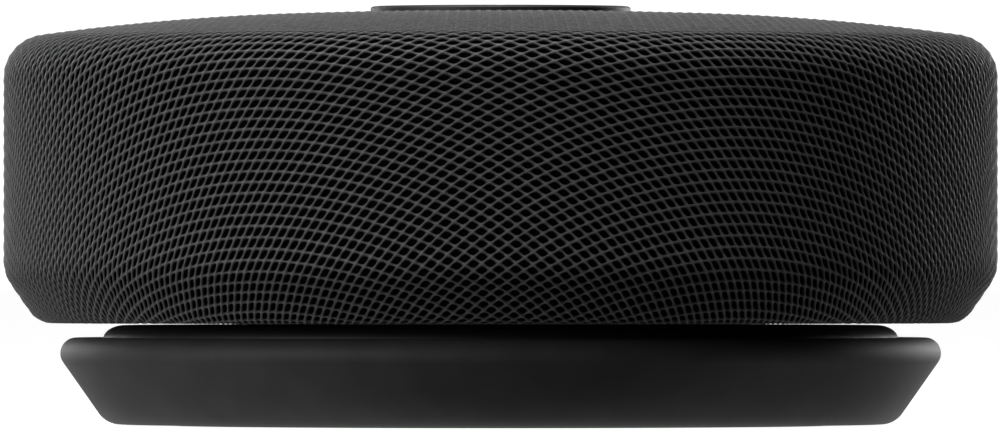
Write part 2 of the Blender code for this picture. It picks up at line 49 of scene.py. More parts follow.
# The cover's outline, as the CAD model has it.
BODY_RADIUS = 58.0
BODY_FLOOR = 12.05
SHOULDER_RADIUS, SHOULDER_HEIGHT = 4.9, 40.7
DOME_RADIUS, DOME_EDGE_SLOPE, CROWN_SLOPE = 271.7, 8.0, 1.5
KNEE_RADIUS, KNEE_HEIGHT = 5.0, 19.3
HEEL_RADIUS = 3.0
FLANK_LEAN = 35.0
MOUTH_RADIUS, HEM_RADIUS = 15.45, 49.2
TUCK_DEPTH = 0.9  # how far the knit goes down round the control disc

# The knit, as it lies flat.
STITCH_WIDE, STITCH_TALL = 2.442, 1.326
YARN_WIDTH, YARN_DEPTH = 0.37, 0.13
KNOT_RISE = 0.10  # how far the knots stand out of the cloth's surface
HOLE_CORNERS, HOLE_BULGE = (0.93, 0.85), 1.07  # how far a hole fills the room between its four yarns
SCRIM_DEPTH, SCRIM_THICK = 0.36, 0.12  # the black acoustic cloth under the knit
SCRIM_START = 0.35  # how far outside the mouth's radius it starts
STITCH_SIDES = 3  # mesh points along each side of a stitch
EDGE_MARGIN = 0.3  # how far the outermost stitches' centres stay inside the cloth's edges
YARN_WANDER, HOLE_WANDER, CREST_WANDER = 0.022, 0.018, 0.02  # unevenness of yarns, holes and heights
SHOULDER_SHARE, SHOULDER_DROP = 0.64, 0.04  # where the yarn's shoulder lies, from its crest to the hole's rim
SHEET_SPAN = 210.0  # flat width that the cloth's UV map covers
STITCH_START = (-0.208, 0.524)  # where the stitch nearest the cloth's centre lies
# How much flat cloth a millimetre of the body takes, across the cloth and along it: DOME_PULL from the pole
# to PULL_TURN, and WALL_PULL beyond it, which PULL_DRAW lowers on the way down. PULL_BLEND softens the turn.
# BIAS_ACROSS and BIAS_ALONG are what the knit's bias adds, in waves of three and five round the body.
PULL_TURN, PULL_BLEND = 51.0, 2.5
DOME_PULL = (1.05, 1.0)
WALL_PULL = (0.855, 1.17)
PULL_DRAW = (0.0025, 0.003)
BIAS_ACROSS = -1.75  # of three, grown to its full size at PULL_TURN
BIAS_ALONG = (-0.0021, 0.00065)  # of three and of five, for each square millimetre of the way down the wall

DISC_RADIUS, DISC_TOP = 15.2, 49.0
KEY_TOP = 48.9
CENTRE_KEY_RADIUS, KEY_CAP_RADIUS, KEY_FLANGE_RADIUS, KEY_CIRCLE = 5.4, 12.7, 13.6, 9.4
LIGHT_PLACE, LIGHT_RADIUS = (0, -14.05), 0.4

TRAY_RADIUS, TRAY_TOP, TRAY_RIM_RADIUS, TRAY_FLOOR = 51.45, 10.3, 1.85, 0.15
DECK_RADIUS = 46.45
FOOT_INNER, FOOT_OUTER = 32.3, 38.5
NECK_RADIUS = 31.0
BASE_SCREW_CIRCLE = 36.2
PORT_HEIGHT, PORT_WALL = 5.2, 45.2
PORT_RECESS = (13.0, 6.8)
SOCKET_SIZE, SOCKET_WALL = (8.94, 3.16), 0.3

ROUND = 192  # sides of a large round piece

YARN_DARK = (0.031, 0.031, 0.032)
YARN_LIGHT = (0.054, 0.054, 0.056)

# The camera, with distance and seen width in metres, and the studio.
CAMERA_DISTANCE, SEEN_WIDTH, CAMERA_TILT = 2.35, 0.11685, -0.14
VIEW_MIDDLE = (-0.076, 24.66)  # the point that the camera looks at, across and up
FLOOR_COLOUR = (0.13, 0.13, 0.13)
FLOOR_GLOW = 0.98  # how bright the floor looks to the camera
UNDER_GLOW, UNDER_EDGE = 0.5, (49.8, 47.8)  # its glow under the object, and the radii over which it grows
BEHIND_GLOW, BEHIND_EDGE = 0.4, (-48.5, -46.0)  # its glow behind the tray's front, and its Y in the same way
ROOM_LIGHT = 0.028


# ---------------------------------------------------------------- materials


def add_node(tree, kind, **settings):
    node = tree.nodes.new(kind)
    for key, value in settings.items():
        setattr(node, key, value)
    return node


def noise(tree, size_mm, detail=3.0, stretch=(1, 1, 1)):
    """A noise texture whose grains are about that many millimetres, fixed to the object."""
    place = add_node(tree, "ShaderNodeTexCoord")
    mapping = add_node(tree, "ShaderNodeMapping")
    mapping.inputs["Scale"].default_value = stretch
    texture = add_node(tree, "ShaderNodeTexNoise")
    texture.inputs["Scale"].default_value = 1 / (size_mm * MM)
    texture.inputs["Detail"].default_value = detail
    tree.links.new(place.outputs["Object"], mapping.inputs["Vector"])
    tree.links.new(mapping.outputs["Vector"], texture.inputs["Vector"])
    return texture.outputs["Fac"]


def ramp(tree, factor, low, high, low_at=0.3, high_at=0.7):
    """A colour or grey that runs from low to high as the factor does."""
    node = add_node(tree, "ShaderNodeValToRGB")
    first, last = node.color_ramp.elements
    first.position, last.position = low_at, high_at
    first.color = (*low, 1) if isinstance(low, tuple) else (low, low, low, 1)
    last.color = (*high, 1) if isinstance(high, tuple) else (high, high, high, 1)
    tree.links.new(factor, node.inputs["Fac"])
    return node.outputs["Color"]


def bump(tree, height, distance_mm, strength=1.0, normal=None):
    node = add_node(tree, "ShaderNodeBump")
    node.inputs["Distance"].default_value = distance_mm * MM
    node.inputs["Strength"].default_value = strength
    tree.links.new(height, node.inputs["Height"])
    if normal is not None:
        tree.links.new(normal, node.inputs["Normal"])
    return node.outputs["Normal"]


def material(name, colour, roughness, grain, depth, metallic=0.0, vary=0.18, stretch=(1, 1, 1), **plain):
    """A moulded, turned or pressed surface: grain and depth are its texture's size and height in mm."""
    made = bpy.data.materials.new(name)
    made.use_nodes = True
    tree = made.node_tree
    shader = tree.nodes["Principled BSDF"]
    shader.inputs["Metallic"].default_value = metallic
    for socket, value in plain.items():
        shader.inputs[socket.replace("_", " ")].default_value = value
    dark = tuple(c * (1 - vary) for c in colour)
    light = tuple(min(1.0, c * (1 + vary)) for c in colour)
    wide = noise(tree, 14 * grain + 3, 2.0, stretch)
    fine = noise(tree, grain, 4.0, stretch)
    tree.links.new(ramp(tree, wide, dark, light), shader.inputs["Base Color"])
    rough = ramp(tree, fine, max(0.02, roughness - 0.08), min(1.0, roughness + 0.08))
    tree.links.new(rough, shader.inputs["Roughness"])
    tree.links.new(bump(tree, fine, depth), shader.inputs["Normal"])
    return made


def knit_material():
    """Charcoal filament yarn: strands along the yarn, slubs, painted shade that darkens it with its depth
    between the yarns, and a soft sheen at a low angle.
    """
    made = bpy.data.materials.new("knit_yarn")
    made.use_nodes = True
    tree = made.node_tree
    shader = tree.nodes["Principled BSDF"]
    shader.inputs["Sheen Weight"].default_value = 0.07
    shader.inputs["Sheen Roughness"].default_value = 0.45
    shader.inputs["Specular IOR Level"].default_value = 0.35
    slub = noise(tree, 0.9, 3.0)
    strand = noise(tree, 0.09, 2.0, (1, 1, 2.2))
    sunk = add_node(tree, "ShaderNodeAttribute", attribute_name="sunk")
    # Painted shade: the yarn's colour is multiplied down with its depth, from full on the knots, through
    # darker yarn between the knots, to 0.06 at the holes' rims.
    painted_shade = add_node(tree, "ShaderNodeMix", data_type="RGBA", blend_type="MULTIPLY")
    painted_shade.inputs["Factor"].default_value = 1.0
    tree.links.new(ramp(tree, slub, YARN_DARK, YARN_LIGHT, 0.25, 0.75), painted_shade.inputs["A"])
    tree.links.new(ramp(tree, sunk.outputs["Fac"], 1.0, 0.06, 0.05, 0.95), painted_shade.inputs["B"])
    tree.links.new(painted_shade.outputs["Result"], shader.inputs["Base Color"])
    rough = add_node(tree, "ShaderNodeMath", operation="ADD")
    tree.links.new(ramp(tree, strand, 0.42, 0.62), rough.inputs[0])
    tree.links.new(ramp(tree, sunk.outputs["Fac"], 0.0, 0.45, 0.1, 0.6), rough.inputs[1])
    tree.links.new(rough.outputs[0], shader.inputs["Roughness"])
    tree.links.new(bump(tree, strand, 0.05), shader.inputs["Normal"])
    return made


# ---------------------------------------------------------------- shapes


def add_piece(name, mesh, surface):
    """Puts a mesh or a curve into the scene."""
    obj = bpy.data.objects.new(name, mesh)
    bpy.context.scene.collection.objects.link(obj)
    if surface is not None:
        obj.data.materials.append(surface)
    return obj


def settle(obj, angle=35):
    """Applies the modifiers, and shades the mesh smooth except at its corners."""
    surfaces = list(obj.data.materials)
    bpy.context.view_layer.update()
    graph = bpy.context.evaluated_depsgraph_get()
    mesh = bpy.data.meshes.new_from_object(obj.evaluated_get(graph))
    obj.modifiers.clear()
    obj.data = mesh
    mesh.materials.clear()
    for surface in surfaces:
        mesh.materials.append(surface)
    mesh.shade_smooth()
    mesh.set_sharp_from_angle(angle=math.radians(angle))
    return obj


def combine(obj, tool, operation):
    boolean = obj.modifiers.new(operation.lower(), "BOOLEAN")
    boolean.operation = operation
    boolean.object = tool
    settle(obj)
    bpy.data.objects.remove(tool)
    return obj


def cut(obj, tool):
    return combine(obj, tool, "DIFFERENCE")


def join(obj, tool):
    return combine(obj, tool, "UNION")


def round_edges(obj, width, segments=2, angle=40):
    """Rounds every edge that is sharper than the angle."""
    bevel = obj.modifiers.new("rounding", "BEVEL")
    bevel.width = width * MM
    bevel.segments = segments
    bevel.limit_method = "ANGLE"
    bevel.angle_limit = math.radians(angle)
    return settle(obj)


def polar(centre, radius, degrees):
    """The point at that distance and direction from the centre."""
    angle = math.radians(degrees)
    return (centre[0] + radius * math.cos(angle), centre[1] + radius * math.sin(angle))


def arc(centre, radius, start, end, steps):
    """Points along a circle, from one direction to another in degrees."""
    return [polar(centre, radius, start + (end - start) * i / steps) for i in range(steps + 1)]


def turned(name, profile, surface, steps=ROUND, ring=True):
    """A solid of revolution from (radius, height) points that run down its outer side."""
    count = len(profile)
    mesh = bpy.data.meshes.new(name)
    edges = [(i, (i + 1) % count) for i in range(count if ring else count - 1)]
    mesh.from_pydata([(r * MM, 0, z * MM) for r, z in profile], edges, [])
    obj = add_piece(name, mesh, surface)
    screw = obj.modifiers.new("turn", "SCREW")
    screw.steps = screw.render_steps = steps
    screw.use_merge_vertices = True
    screw.merge_threshold = 0.00001
    return settle(obj)


def box(name, size, centre, surface=None):
    mesh = bpy.data.meshes.new(name)
    made = bmesh.new()
    bmesh.ops.create_cube(made, size=1.0)
    bmesh.ops.scale(made, vec=Vector(size) * MM, verts=made.verts)
    bmesh.ops.translate(made, vec=Vector(centre) * MM, verts=made.verts)
    made.to_mesh(mesh)
    made.free()
    return add_piece(name, mesh, surface)


def rod(name, radius, low, high, at=(0, 0), surface=None, steps=32):
    mesh = bpy.data.meshes.new(name)
    made = bmesh.new()
    bmesh.ops.create_cone(
        made, cap_ends=True, segments=steps, radius1=radius * MM, radius2=radius * MM, depth=(high - low) * MM
    )
    middle = Vector((at[0], at[1], (low + high) / 2)) * MM
    bmesh.ops.translate(made, vec=middle, verts=made.verts)
    made.to_mesh(mesh)
    made.free()
    return add_piece(name, mesh, surface)


def plate(name, outline, low, high, surface=None):
    """A flat piece from a closed outline of (x, y) points, between two heights."""
    made = bmesh.new()
    face = made.faces.new([made.verts.new((x * MM, y * MM, low * MM)) for x, y in outline])
    raised = bmesh.ops.extrude_face_region(made, geom=[face])["geom"]
    top = [v for v in raised if isinstance(v, bmesh.types.BMVert)]
    bmesh.ops.translate(made, vec=(0, 0, (high - low) * MM), verts=top)
    bmesh.ops.recalc_face_normals(made, faces=made.faces)
    mesh = bpy.data.meshes.new(name)
    made.to_mesh(mesh)
    made.free()
    return add_piece(name, mesh, surface)


def turn_mesh(obj, degrees, axis="Z"):
    obj.data.transform(Matrix.Rotation(math.radians(degrees), 4, axis))
    return obj


def upright_slab(name, outline, front, back):
    """A slab whose outline of (x, z) points stands upright, reaching from front to back along Y."""
    return turn_mesh(plate(name, outline, -back, -front), 90, "X")


def rounded_box(width, height, radius, centre_x, centre_y, steps=6):
    """The outline of a rectangle with round corners."""
    points = []
    for corner, (sx, sy) in enumerate(((1, 1), (-1, 1), (-1, -1), (1, -1))):
        middle = (centre_x + sx * (width / 2 - radius), centre_y + sy * (height / 2 - radius))
        points += arc(middle, radius, 90 * corner, 90 * corner + 90, steps)
    return points


def around(radius, count, first=45.0):
    return [polar((0, 0), radius, first + 360 * i / count) for i in range(count)]


def finish_piece(obj, slot, *nodes, body=HOUSING):
    """Puts the piece on its body, in place of the CAD nodes that it stands for; its slot is not used."""
    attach(obj, body)
    if nodes:
        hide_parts(*nodes)
    return obj


def heel_centre(upper, upper_radius, floor):
    """Centre of the lower round that the leaning flank of an upper round runs into."""
    lean = math.radians(FLANK_LEAN)
    spare = upper_radius - HEEL_RADIUS
    start_r = upper[0] + spare * math.cos(lean)
    start_z = upper[1] - spare * math.sin(lean)
    run = (start_z - floor - HEEL_RADIUS) / math.cos(lean)
    return (start_r - run * math.sin(lean), floor + HEEL_RADIUS)


# ---------------------------------------------------------------- the knitted cover


class Cloth:
    """The body's surface as the cloth follows it, and the way from the flat cloth to that surface."""

    def __init__(self):
        shoulder = (BODY_RADIUS - SHOULDER_RADIUS, SHOULDER_HEIGHT)
        knee = (BODY_RADIUS - KNEE_RADIUS, KNEE_HEIGHT)
        heel = heel_centre(knee, KNEE_RADIUS, BODY_FLOOR)
        dome = polar(shoulder, SHOULDER_RADIUS - DOME_RADIUS, 90 - DOME_EDGE_SLOPE)
        crown = arc(dome, DOME_RADIUS, 90 - CROWN_SLOPE, 90 - DOME_EDGE_SLOPE, 24)
        mouth_top = crown[0][1] + (crown[0][0] - MOUTH_RADIUS) * math.tan(math.radians(CROWN_SLOPE))
        lip = 0.45
        tuck = arc((MOUTH_RADIUS + lip, mouth_top - lip), lip, 180, 90 + CROWN_SLOPE, 8)
        path = [(MOUTH_RADIUS, mouth_top - TUCK_DEPTH)] + tuck + crown
        path += arc(shoulder, SHOULDER_RADIUS, 90 - DOME_EDGE_SLOPE, 0, 32)[1:]
        path += arc(knee, KNEE_RADIUS, 0, -FLANK_LEAN, 12)
        path += arc(heel, HEEL_RADIUS, -FLANK_LEAN, -90, 16)
        path += [(HEM_RADIUS, BODY_FLOOR)]
        path = self.resampled(np.array(path), 0.1)
        steps = np.hypot(*np.diff(path, axis=0).T)
        self.distance = MOUTH_RADIUS - TUCK_DEPTH + np.concatenate([[0], np.cumsum(steps)])
        self.path = path
        way = np.gradient(path, axis=0)
        way /= np.hypot(*way.T)[:, None]
        self.out = np.stack([-way[:, 1], way[:, 0]], axis=1)
        self.wide = 2 * self.flat_at(self.distance[-1:], np.array([math.pi / 2]))[0, 0]
        self.tall = 2 * self.flat_at(self.distance[-1:], np.array([0.0]))[0, 1]

    @staticmethod
    def resampled(path, step):
        """The same path with points evenly spaced, so that its direction changes smoothly."""
        along = np.concatenate([[0], np.cumsum(np.hypot(*np.diff(path, axis=0).T))])
        even = np.linspace(0, along[-1], int(along[-1] / step))
        return np.stack([np.interp(even, along, path[:, k]) for k in (0, 1)], axis=1)

    def flat_at(self, distance, angle):
        """Where on the flat cloth a place on the body comes from."""
        wall = np.logaddexp(0, (distance - PULL_TURN) / PULL_BLEND) * PULL_BLEND
        dome = distance - wall
        across, along = (
            DOME_PULL[k] * dome + WALL_PULL[k] * wall - PULL_DRAW[k] * wall**2 for k in (0, 1)
        )
        across = across * np.sin(angle) + BIAS_ACROSS * (dome / PULL_TURN) ** 3 * np.sin(3 * angle)
        along = along * np.cos(angle)
        along += wall**2 * (BIAS_ALONG[0] * np.cos(3 * angle) + BIAS_ALONG[1] * np.cos(5 * angle))
        return np.stack([across, along], axis=1)

    def place(self, flat):
        """How far from the pole, and at which angle from the front, each flat point comes to lie.

        This is flat_at backwards, found by correcting a guess a few times.
        """
        spot = flat * 0.98
        for _ in range(14):
            distance, angle = np.hypot(*spot.T), np.arctan2(*spot.T)
            spot = spot + flat - self.flat_at(distance, angle)
        return np.hypot(*spot.T), np.arctan2(*spot.T)

    def lay(self, flat, depth):
        """The places in space of flat points, pressed in by depth."""
        distance, angle = self.place(flat)
        held = np.clip(distance, self.distance[0], self.distance[-1])
        radius, height, out_r, out_z = (
            np.interp(held, self.distance, values) for values in (*self.path.T, *self.out.T)
        )
        radius = radius - depth * out_r
        height = height - depth * out_z
        return np.stack([radius * np.sin(angle), -radius * np.cos(angle), height], axis=1) * MM


def stitch_ring(sides):
    """One stitch: its corner-to-corner outline in whole steps, and its hole's outline between the yarns."""
    border, hole = [], []
    for quarter, (turn_x, turn_y) in enumerate(((1, 1), (-1, 1), (-1, -1), (1, -1))):
        for k in range(sides):
            step = k if quarter % 2 == 0 else sides - k
            share = step / sides
            bulge = HOLE_BULGE if 0 < step < sides else HOLE_CORNERS[step // sides]
            border.append((turn_x * (sides - step), turn_y * step))
            hole.append((turn_x * (1 - share) * bulge, turn_y * share * bulge))
    return np.array(border), np.array(hole)


def hole_rims(cloth, middle, hole):
    """Each stitch's hole on the flat cloth: what its four yarns, all of one real width, leave open."""
    half = np.array([STITCH_WIDE, STITCH_TALL]) / 2
    ways = half * (1, 0), half * (0, 1)
    reach = [cloth.lay(middle + way, 0) - cloth.lay(middle - way, 0) for way in ways]
    sides = [(reach[0] + reach[1]) / 2, (reach[0] - reach[1]) / 2]
    area = np.linalg.norm(np.cross(*sides), axis=1)
    gaps = [area / np.linalg.norm(side, axis=1) for side in sides]
    keep_first, keep_second = (
        np.clip(1 - YARN_WIDTH * MM / gap, 0.12, 1)[:, None] for gap in reversed(gaps)
    )
    first = (hole[:, 0] + hole[:, 1]) * keep_first / 2
    second = (hole[:, 0] - hole[:, 1]) * keep_second / 2
    return middle[:, None] + np.stack([first + second, first - second], axis=2) * half


def make_knit():
    """The cover as a net of yarn round some sixteen thousand lens-shaped holes."""
    cloth = Cloth()
    border, hole = stitch_ring(STITCH_SIDES)
    count = len(border)
    unit = np.array([STITCH_WIDE, STITCH_TALL]) / (2 * STITCH_SIDES)

    reach_x, reach_y = int(cloth.wide / STITCH_WIDE) + 4, int(cloth.tall / STITCH_TALL) + 4
    grid = np.array([(i, j) for i in range(-reach_x, reach_x) for j in range(-reach_y, reach_y)])
    grid = grid[(grid.sum(axis=1) % 2) == 0] * STITCH_SIDES
    middle = grid * unit + STITCH_START
    near = np.hypot(middle[:, 0] / cloth.wide, middle[:, 1] / cloth.tall) < 0.52
    grid, middle = grid[near], middle[near]
    far = cloth.place(middle)[0]
    kept = (far > cloth.distance[0] + EDGE_MARGIN) & (far < cloth.distance[-1] - EDGE_MARGIN)
    grid, middle = grid[kept], middle[kept]

    chance = np.random.default_rng(5)
    keys, index = np.unique((grid[:, None] + border[None]).reshape(-1, 2), axis=0, return_inverse=True)
    crest = index.reshape(-1, count)
    crest_flat = keys * unit + STITCH_START + chance.normal(0, YARN_WANDER, keys.shape)
    is_knot = (keys % STITCH_SIDES == 0).all(axis=1)
    crest_depth = np.where(is_knot, -KNOT_RISE, -KNOT_RISE / 3) + chance.uniform(0, CREST_WANDER, len(keys))

    rim = hole_rims(cloth, middle, hole) + chance.normal(0, HOLE_WANDER, (len(middle), 1, 2))
    shoulder = crest_flat[crest] * (1 - SHOULDER_SHARE) + rim * SHOULDER_SHARE
    rounds = [
        (crest_flat, crest_depth),
        (shoulder.reshape(-1, 2), (crest_depth[crest] + SHOULDER_DROP).reshape(-1)),
        (rim.reshape(-1, 2), np.full(rim.size // 2, YARN_DEPTH)),
    ]
    flat = np.concatenate([r[0] for r in rounds])
    depth = np.concatenate([r[1] for r in rounds])
    cells = np.arange(len(middle) * count).reshape(-1, count)
    rings = [crest, cells + len(keys), cells + len(keys) + cells.size]
    faces = []
    for outer, inner in zip(rings, rings[1:]):
        after_outer, after_inner = np.roll(outer, -1, axis=1), np.roll(inner, -1, axis=1)
        faces.append(np.stack([outer, after_outer, after_inner, inner], axis=2).reshape(-1, 4))
    faces = np.concatenate(faces)

    mesh = bpy.data.meshes.new("knit_cover")
    mesh.from_pydata(cloth.lay(flat, depth), [], faces)
    layer = mesh.uv_layers.new(name="OFBake")
    layer.data.foreach_set("uv", (flat[faces.reshape(-1)] / SHEET_SPAN + 0.5).reshape(-1))
    # How far down between the yarns each point is, which the yarn's material turns into painted shade and
    # roughness: 0 on a knot, 1 at a hole's rim.
    sunk = mesh.attributes.new("sunk", "FLOAT", "POINT")
    inner = np.repeat([0.58, 1.0], [len(r[0]) for r in rounds[1:]])
    sunk.data.foreach_set("value", np.concatenate([np.where(is_knot, 0.0, 0.42), inner]))
    mesh.update()
    mesh.shade_smooth()
    cover = add_piece("knit_cover", mesh, KNIT)
    finish_piece(cover, "fabric", "fabric_cover")
    make_scrim(cloth)


def make_scrim(cloth):
    """The black acoustic cloth that lines the knit."""
    start = np.searchsorted(cloth.distance, MOUTH_RADIUS + SCRIM_START)
    outer = (cloth.path - SCRIM_DEPTH * cloth.out)[start::6]
    inner = (cloth.path - (SCRIM_DEPTH + SCRIM_THICK) * cloth.out)[start::6]
    scrim = turned("acoustic_scrim", [tuple(p) for p in np.concatenate([outer, inner[::-1]])], SCRIM)
    finish_piece(scrim, None)


# ---------------------------------------------------------------- the control disc


def make_bezel():
    """The control disc's rim, with a hole and a notch for the status light."""
    profile = (
        [(13.0, 48.7), (13.15, 48.93), (13.35, DISC_TOP)]
        + [(14.55, DISC_TOP), (14.9, 48.96), (15.1, 48.88), (DISC_RADIUS, 48.74)]
        + [(DISC_RADIUS, 47.4), (14.7, 47.4), (14.7, 45.2), (13.9, 45.2), (13.9, 47.4), (13.0, 47.4)]
    )
    bezel = turned("control_rim", profile, DISC)
    cut(bezel, box("light_notch", (2.6, 3.0, 1.8), (0, -14.3, 45.35)))
    cut(bezel, rod("light_hole", 0.7, 45.8, 50, LIGHT_PLACE))
    finish_piece(bezel, "disc_plastic", "control_bezel")


def sector(inner, outer, half_angle, gap, steps=18):
    """A ring sector centred on +X whose straight sides stay parallel to its neighbours'."""
    trim_out = math.degrees(math.asin(gap / 2 / outer))
    trim_in = math.degrees(math.asin(gap / 2 / inner))
    outside = arc((0, 0), outer, trim_out - half_angle, half_angle - trim_out, steps)
    inside = arc((0, 0), inner, half_angle - trim_in, trim_in - half_angle, steps)
    return outside + inside


def key_piece(node, outline, flange, stem_at, turn):
    """A key with softly rounded edges, its flange and its stem."""
    cap = round_edges(plate(node + "_cap", outline, 47.0, KEY_TOP, KEY), 0.22, 3, 60)
    join(cap, plate("flange", flange, 46.3, 47.1))
    join(cap, rod("stem", 1.5, 45.9, 46.5, stem_at))
    turn_mesh(cap, turn)
    return finish_piece(cap, "key_plastic", node, body=node)


def stroke(curve, points):
    spline = curve.splines.new("POLY")
    spline.points.add(len(points) - 1)
    for point, (x, y) in zip(spline.points, points):
        point.co = (x * MM, y * MM, 0, 1)


def key_mark(node, at, lines, width=0.32):
    """A printed mark: flat strokes on top of the key."""
    curve = bpy.data.curves.new(node + "_mark", "CURVE")
    curve.dimensions = "3D"
    curve.bevel_depth = width / 2 * MM
    curve.bevel_resolution = 3
    curve.use_fill_caps = True
    for line in lines:
        stroke(curve, line)
    drawn = add_piece(node + "_strokes", curve, None)
    bpy.context.view_layer.update()
    mesh = bpy.data.meshes.new_from_object(drawn.evaluated_get(bpy.context.evaluated_depsgraph_get()))
    bpy.data.objects.remove(drawn)
    mesh.transform(Matrix.Diagonal((1, 1, 0.12, 1)))
    mesh.transform(Matrix.Translation(Vector((at[0], at[1], KEY_TOP)) * MM))
    mesh.materials.clear()
    mesh.shade_smooth()
    mark = add_piece(node + "_mark", mesh, MARK)
    return finish_piece(mark, None, body=node)


def handset(turn):
    """A telephone handset seen from the side: a bow with a stub at each end."""
    bow = arc((0, -1.5), 2.1, 152, 28, 12)
    ends = [[end, (end[0] + lean, end[1] - 0.55)] for end, lean in ((bow[0], 0.1), (bow[-1], -0.1))]
    spin = math.radians(turn)
    lines = [bow] + ends
    return [
        [(x * math.cos(spin) - y * math.sin(spin), x * math.sin(spin) + y * math.cos(spin)) for x, y in line]
        for line in lines
    ]


def make_keys():
    """The round mute key, the four keys round it, and the marks on them."""
    inner = arc((0, 0), CENTRE_KEY_RADIUS, 0, 355, 71)
    flange = arc((0, 0), CENTRE_KEY_RADIUS + 0.25, 0, 350, 35)
    key_piece("mute_key", inner, flange, (0, 0), 0)
    for i, node in enumerate(("volume_up_key", "call_key", "volume_down_key", "hang_up_key")):
        cap = sector(CENTRE_KEY_RADIUS + 0.5, KEY_CAP_RADIUS, 45, 0.5)
        rim = sector(CENTRE_KEY_RADIUS + 0.65, KEY_FLANGE_RADIUS, 45, 0.8)
        key_piece(node, cap, rim, (KEY_CIRCLE, 0), 90 * i)
    reach = 1.35
    across, upright = [(-reach, 0), (reach, 0)], [(0, -reach), (0, reach)]
    key_mark("volume_up_key", (9.2, 0), [across, upright])
    key_mark("volume_down_key", (-9.2, 0), [across])
    key_mark("call_key", (0, 9.0), handset(45), 0.5)
    key_mark("hang_up_key", (0, -9.2), handset(180), 0.5)
    capsule = arc((0, 0.9), 0.6, 0, 180, 8) + arc((0, -0.1), 0.6, 180, 360, 8)
    cradle = arc((0, -0.1), 1.25, 190, 350, 12)
    stand, foot, stroke_out = [(0, -1.35), (0, -2.1)], [(-0.7, -2.1), (0.7, -2.1)], [(-1.9, 2.0), (1.9, -1.9)]
    key_mark("mute_key", (0, 0.1), [capsule + capsule[:1], cradle, stand, foot, stroke_out], 0.26)


# ---------------------------------------------------------------- the base


def make_tray():
    """The base's tray, with its screw posts, the groove for the foot and the recess for the socket."""
    rim = (TRAY_RADIUS - TRAY_RIM_RADIUS, TRAY_TOP - TRAY_RIM_RADIUS)
    heel = heel_centre(rim, TRAY_RIM_RADIUS, TRAY_FLOOR)
    outside = arc(rim, TRAY_RIM_RADIUS, 90, -FLANK_LEAN, 14) + arc(heel, HEEL_RADIUS, -FLANK_LEAN, -90, 8)
    inside = [
        (0, 2.05),
        (42.6, 2.05),
        (45.0, 4.8),
        (45.0, 8.8),
        (DECK_RADIUS + 0.3, 8.8),
        (DECK_RADIUS + 0.3, TRAY_TOP - 0.15),
        (DECK_RADIUS + 0.45, TRAY_TOP),
    ]
    groove = [
        (FOOT_OUTER + 0.3, TRAY_FLOOR),
        (FOOT_OUTER + 0.3, 1.0),
        (FOOT_INNER - 0.3, 1.0),
        (FOOT_INNER - 0.3, TRAY_FLOOR),
        (0, TRAY_FLOOR),
    ]
    tray = turned("tray_shell", inside + outside + groove, TRAY, ring=False)
    for x, y in around(BASE_SCREW_CIRCLE, 4):
        join(tray, rod("post", 3.8, 1.6, 6.5, (x, y)))
        cut(tray, rod("hole", 1.4, 0.5, 8, (x, y)))
        cut(tray, rod("bore", 2.6, 0.5, 2.8, (x, y)))
    join(tray, box("port_wall", (17, 2.0, 7.3), (0, PORT_WALL - 0.7, 5.15)))
    recess = rounded_box(*PORT_RECESS, 1.6, 0, PORT_HEIGHT)
    cut(tray, upright_slab("recess", recess, PORT_WALL, 60))
    window = rounded_box(9.5, 3.7, 1.84, 0, PORT_HEIGHT, 10)
    cut(tray, upright_slab("window", window, 40, 60))
    finish_piece(tray, "tray_plastic", "base_tray")


def make_deck():
    """The tray's lid, a low ring with a rounded edge and posts that take the screws."""
    edge = [(43.9 + 2.55 * math.sin(a), 10.1 + 1.65 * math.cos(a)) for a in np.linspace(0, math.pi / 2, 14)]
    inner = NECK_RADIUS + 0.3
    profile = [(inner, 11.75)] + edge + [(DECK_RADIUS, 9.1), (43.8, 9.1), (43.8, 9.9), (inner, 9.9)]
    deck = turned("deck_lid", profile, DECK)
    for x, y in around(BASE_SCREW_CIRCLE, 4):
        join(deck, rod("post", 2.8, 6.8, 10.2, (x, y)))
        cut(deck, rod("pilot", 1.4, 6, 9.6, (x, y)))
    finish_piece(deck, "deck_plastic", "base_deck")


def make_foot():
    """The rubber foot, with its edges rounded."""
    soft = 0.25
    lower = arc((FOOT_OUTER - soft, soft), soft, 0, -90, 4)
    lower += arc((FOOT_INNER + soft, soft), soft, -90, -180, 4)
    foot = turned("foot_pad", [(FOOT_INNER, 0.85), (FOOT_OUTER, 0.85)] + lower, FOOT)
    finish_piece(foot, "foot_rubber", "foot_ring")


def make_socket():
    """The socket's drawn steel shell, which its window in the tray frames, with an eased lip."""
    front, back = PORT_WALL - 7.4, PORT_WALL - 0.1
    wide, tall, wall = *SOCKET_SIZE, SOCKET_WALL
    outside = rounded_box(wide, tall, tall / 2 - 0.01, 0, PORT_HEIGHT, 14)
    inside = rounded_box(wide - 2 * wall, tall - 2 * wall, tall / 2 - 0.01 - wall, 0, PORT_HEIGHT, 14)
    shell = turn_mesh(plate("socket_shell", outside, -back, -front, STEEL), 90, "X")
    cut(shell, upright_slab("cavity", inside, front + 1.0, back + 1))
    finish_piece(round_edges(shell, 0.08, 2, 60), "socket_steel", "usb_c_shell")


def make_light():
    """The status light's guide, with a softly rounded end."""
    guide = rod("light_guide", LIGHT_RADIUS, 46.1, DISC_TOP - 0.05, LIGHT_PLACE, LIGHT, 40)
    finish_piece(round_edges(guide, 0.12, 3, 60), "light_plastic", "status_light_guide")


# ---------------------------------------------------------------- CAD nodes that stay


